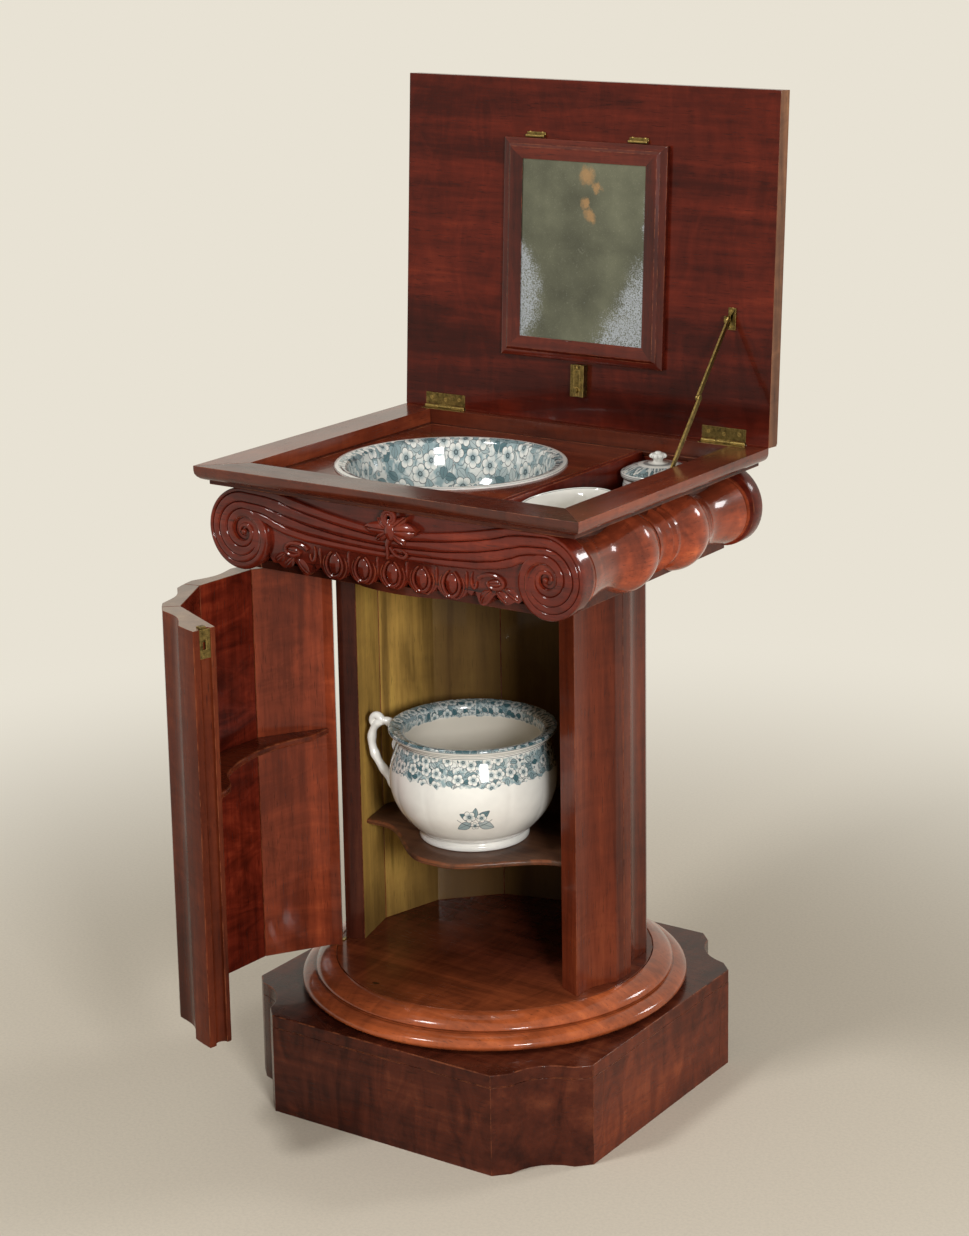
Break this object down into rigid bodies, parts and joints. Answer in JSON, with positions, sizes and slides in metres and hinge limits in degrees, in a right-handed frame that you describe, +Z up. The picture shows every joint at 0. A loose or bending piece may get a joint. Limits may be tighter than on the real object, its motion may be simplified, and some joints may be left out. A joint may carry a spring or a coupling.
{
  "type": "pedestal washstand",
  "caption": "Mahogany washstand like a short fluted column: lidded basin top with looking glass, curved cupboard door, crockery.",
  "frame": {"origin": "on the floor, under the axis of the column, at the middle of the plinth", "axes": "+Z up, -Y towards the carved front and the door, +X towards the compartment for the jar and the soap dish"},
  "size_m": [0.54, 0.6727, 1.2179],
  "materials": {
    "mahogany": "french polished, red-brown",
    "oiled_mahogany": "polished, worn to orange-brown",
    "inner_mahogany": "satin, darker inside",
    "deal": "bare, aged to olive gold",
    "brass": "aged, dull",
    "mirror_glass": "old silvering with foxed patches",
    "glazed_ceramic": "warm white glaze with blue-green printed sprigs"
  },
  "bodies": {
    "cabinet": {"plinth_bottom_board": "deal", "plinth_top_board": "mahogany", "plinth_front_board": "mahogany", "plinth_back_board": "mahogany", "plinth_left_board": "mahogany", "plinth_right_board": "mahogany", "base_lower_torus": "oiled_mahogany", "base_upper_torus": "oiled_mahogany", "cupboard_floor": "oiled_mahogany", "right_stile_stave": "mahogany", "right_back_stave": "mahogany", "middle_back_stave": "mahogany", "left_back_stave": "mahogany", "left_stile_stave": "mahogany", "cupboard_shelf": "inner_mahogany", "case_bottom": "inner_mahogany", "case_left_side": "inner_mahogany", "case_right_side": "inner_mahogany", "compartment_divider": "mahogany", "compartment_floor": "inner_mahogany", "basin_board": "mahogany", "carved_front_frieze": "mahogany", "plain_back_frieze": "mahogany", "bolster_left": "mahogany", "bolster_right": "mahogany", "abacus_plate": "mahogany", "top_front_rail": "mahogany", "top_left_rail": "mahogany", "top_right_rail": "mahogany", "top_back_rail": "mahogany", "lid_hinge_fixed_leaf_left": "brass", "lid_hinge_fixed_leaf_right": "brass", "stay_rail_bracket": "brass"},
    "door": {"door_hinge_stave": "mahogany", "door_left_stave": "mahogany", "door_right_stave": "mahogany", "door_lock_stave": "mahogany", "door_shelf": "mahogany", "door_pivot_top": "brass", "door_pivot_bottom": "brass", "door_catch_plate": "brass"},
    "door_catch": {"door_catch_bolt": "brass"},
    "lid": {"lid_panel": "mahogany", "lid_hinge_lid_leaf_left": "brass", "lid_hinge_lid_leaf_right": "brass", "mirror_hinge_left": "brass", "mirror_hinge_right": "brass", "mirror_catch_plate": "brass", "stay_lid_bracket": "brass"},
    "looking_glass": {"mirror_frame": "mahogany", "mirror_glass": "mirror_glass", "mirror_backboard": "deal"},
    "glass_catch": {"mirror_catch_bolt": "brass"},
    "stay_upper": {"stay_upper_arm": "brass"},
    "stay_lower": {"stay_lower_arm": "brass"},
    "basin": {"wash_basin": "glazed_ceramic"},
    "jar": {"jar_body": "glazed_ceramic"},
    "jar_cover": {"jar_lid": "glazed_ceramic"},
    "dish": {"soap_dish": "glazed_ceramic"},
    "pot": {"chamber_pot": "glazed_ceramic"}
  },
  "joints": [
    {"name": "lid_hinge", "type": "hinge", "parent": "cabinet", "child": "lid", "pos_m": [0, 0.2075, 0.7906], "axis": [-1, 0, 0], "range_deg": [-93.19, 0]},
    {"name": "stay_upper_pivot", "type": "hinge", "parent": "lid", "child": "stay_upper", "pos_m": [0.214, 0.20697, 0.94287], "axis": [-1, 0, 0], "range_deg": [-38.5, 0]},
    {"name": "stay_lower_pivot", "type": "hinge", "parent": "cabinet", "child": "stay_lower", "pos_m": [0.217, 0.0635, 0.7816], "axis": [1, 0, 0], "range_deg": [-48.4, 0]},
    {"name": "looking_glass_hinge", "type": "hinge", "parent": "lid", "child": "looking_glass", "pos_m": [0.002, 0.22341, 1.14787], "axis": [-1, 0, 0], "range_deg": [0, 60]},
    {"name": "glass_catch_slide", "type": "slide", "parent": "lid", "child": "glass_catch", "axis": [0, 0.0556, 0.9985], "range_m": [0, 0.012]},
    {"name": "door_pivots", "type": "hinge", "parent": "cabinet", "child": "door", "pos_m": [-0.1731, -0.08072, 0.4], "axis": [0, 0, -1], "range_deg": [-79, 70]},
    {"name": "door_catch_slide", "type": "slide", "parent": "door", "child": "door_catch", "axis": [0, 0, -1], "range_m": [0, 0.006], "stiffness_N_per_m": 300, "springref_m": -0.003},
    {"name": "basin_lift", "type": "slide", "parent": "cabinet", "child": "basin", "axis": [0, 0, 1], "range_m": [0, 0.15]},
    {"name": "jar_lift", "type": "slide", "parent": "cabinet", "child": "jar", "axis": [0, 0, 1], "range_m": [0, 0.12]},
    {"name": "jar_cover_lift", "type": "slide", "parent": "jar", "child": "jar_cover", "axis": [0, 0, 1], "range_m": [0, 0.06]},
    {"name": "soap_dish_lift", "type": "slide", "parent": "cabinet", "child": "dish", "axis": [0, 0, 1], "range_m": [0, 0.12]},
    {"name": "pot_draw", "type": "slide", "parent": "cabinet", "child": "pot", "axis": [0, -1, 0], "range_m": [0, 0.225]}
  ],
  "couplings": [
    {"joint": "stay_upper_pivot", "follows": "lid_hinge", "ratio": 0.4128},
    {"joint": "stay_lower_pivot", "follows": "lid_hinge", "ratio": 0.51874}
  ]
}
